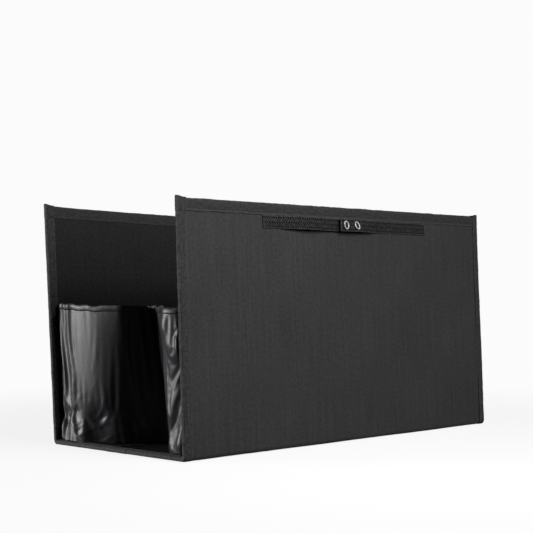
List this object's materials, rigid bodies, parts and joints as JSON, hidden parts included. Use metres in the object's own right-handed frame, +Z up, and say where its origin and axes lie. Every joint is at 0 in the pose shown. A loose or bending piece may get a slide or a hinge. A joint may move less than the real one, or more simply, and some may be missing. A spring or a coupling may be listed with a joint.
{
  "type": "folding storage bag",
  "caption": "Open-topped folding fabric bag with stiff front, base and rear panels, soft inward-folded end gussets and a snap strap on each outer face.",
  "frame": {"origin": "middle of the base's underside, where the bag stands", "axes": "+X along the length, +Y from the front panel to the rear panel, +Z up"},
  "size_m": [0.6, 0.2781, 0.3058],
  "materials": {
    "outer_cloth": "dark grey ribbed polyester, matte",
    "hem_cloth": "dark grey folded cloth band, matte",
    "lining_cloth": "near-black lining, matte",
    "edge_binding": "dark grey woven binding tape",
    "gusset_nylon": "grey satin nylon, soft sheen",
    "webbing": "near-black ribbed webbing",
    "snap_metal": "bright nickel-plated ring snaps",
    "stiffener_board": "pressed grey-brown board"
  },
  "bodies": {
    "rear_base": {"base_rear_board": "stiffener_board", "base_rear_cloth": "outer_cloth", "base_rear_lining": "lining_cloth", "base_rear_binding_left": "edge_binding", "base_rear_binding_right": "edge_binding", "rear_corner_roll": "outer_cloth"},
    "front_base": {"base_front_board": "stiffener_board", "base_front_cloth": "outer_cloth", "base_front_lining": "lining_cloth", "base_front_binding_left": "edge_binding", "base_front_binding_right": "edge_binding", "front_corner_roll": "outer_cloth"},
    "front_panel": {"front_board": "stiffener_board", "front_outer_cloth": "outer_cloth", "front_lining": "lining_cloth", "front_hem": "hem_cloth", "front_binding_left": "edge_binding", "front_binding_right": "edge_binding", "front_strap_tab_left": "webbing", "front_strap_tab_right": "webbing", "gusset_left": "gusset_nylon", "gusset_left_hem": "gusset_nylon", "gusset_right": "gusset_nylon", "gusset_right_hem": "gusset_nylon"},
    "front_strap_upper_half": {"front_strap_over": "webbing", "front_snap_rings": "snap_metal", "front_snap_sockets": "snap_metal"},
    "front_strap_lower_half": {"front_strap_under": "webbing", "front_snap_studs": "snap_metal", "front_snap_back_rings": "snap_metal"},
    "rear_panel": {"rear_board": "stiffener_board", "rear_outer_cloth": "outer_cloth", "rear_lining": "lining_cloth", "rear_hem": "hem_cloth", "rear_binding_left": "edge_binding", "rear_binding_right": "edge_binding", "rear_strap_tab_left": "webbing", "rear_strap_tab_right": "webbing"},
    "rear_strap_upper_half": {"rear_strap_over": "webbing", "rear_snap_rings": "snap_metal", "rear_snap_sockets": "snap_metal"},
    "rear_strap_lower_half": {"rear_strap_under": "webbing", "rear_snap_studs": "snap_metal", "rear_snap_back_rings": "snap_metal"}
  },
  "joints": [
    {"name": "base_fold", "type": "hinge", "parent": "rear_base", "child": "front_base", "pos_m": [0, 0, 0.008], "axis": [-1, 0, 0], "range_deg": [0, 178.7], "deforming": ["gusset_left", "gusset_left_hem", "gusset_right", "gusset_right_hem"]},
    {"name": "front_panel_open", "type": "hinge", "parent": "front_base", "child": "front_panel", "pos_m": [0, -0.1205, 0.0025], "axis": [1, 0, 0], "range_deg": [0, 92.75]},
    {"name": "rear_panel_open", "type": "hinge", "parent": "rear_base", "child": "rear_panel", "pos_m": [0, 0.1205, 0.0025], "axis": [-1, 0, 0], "range_deg": [0, 84.09]},
    {"name": "front_strap_open", "type": "hinge", "parent": "front_panel", "child": "front_strap_upper_half", "pos_m": [0.157, -0.11188, 0.28201], "axis": [0, 0.048, 0.9988], "range_deg": [0, 150]},
    {"name": "front_strap_follow", "type": "hinge", "parent": "front_panel", "child": "front_strap_lower_half", "pos_m": [-0.142, -0.11188, 0.28201], "axis": [0, -0.048, -0.9988], "range_deg": [0, 60]},
    {"name": "rear_strap_open", "type": "hinge", "parent": "rear_panel", "child": "rear_strap_upper_half", "pos_m": [-0.157, 0.14776, 0.28081], "axis": [0, 0.0804, 0.9968], "range_deg": [0, 150]},
    {"name": "rear_strap_follow", "type": "hinge", "parent": "rear_panel", "child": "rear_strap_lower_half", "pos_m": [0.142, 0.14776, 0.28081], "axis": [0, -0.0804, -0.9968], "range_deg": [0, 60]}
  ],
  "couplings": [
    {"joint": "front_panel_open", "follows": "base_fold", "ratio": 0.519},
    {"joint": "rear_panel_open", "follows": "base_fold", "ratio": 0.4705},
    {"joint": "front_strap_follow", "follows": "front_strap_open", "ratio": 0.4},
    {"joint": "rear_strap_follow", "follows": "rear_strap_open", "ratio": 0.4}
  ]
}
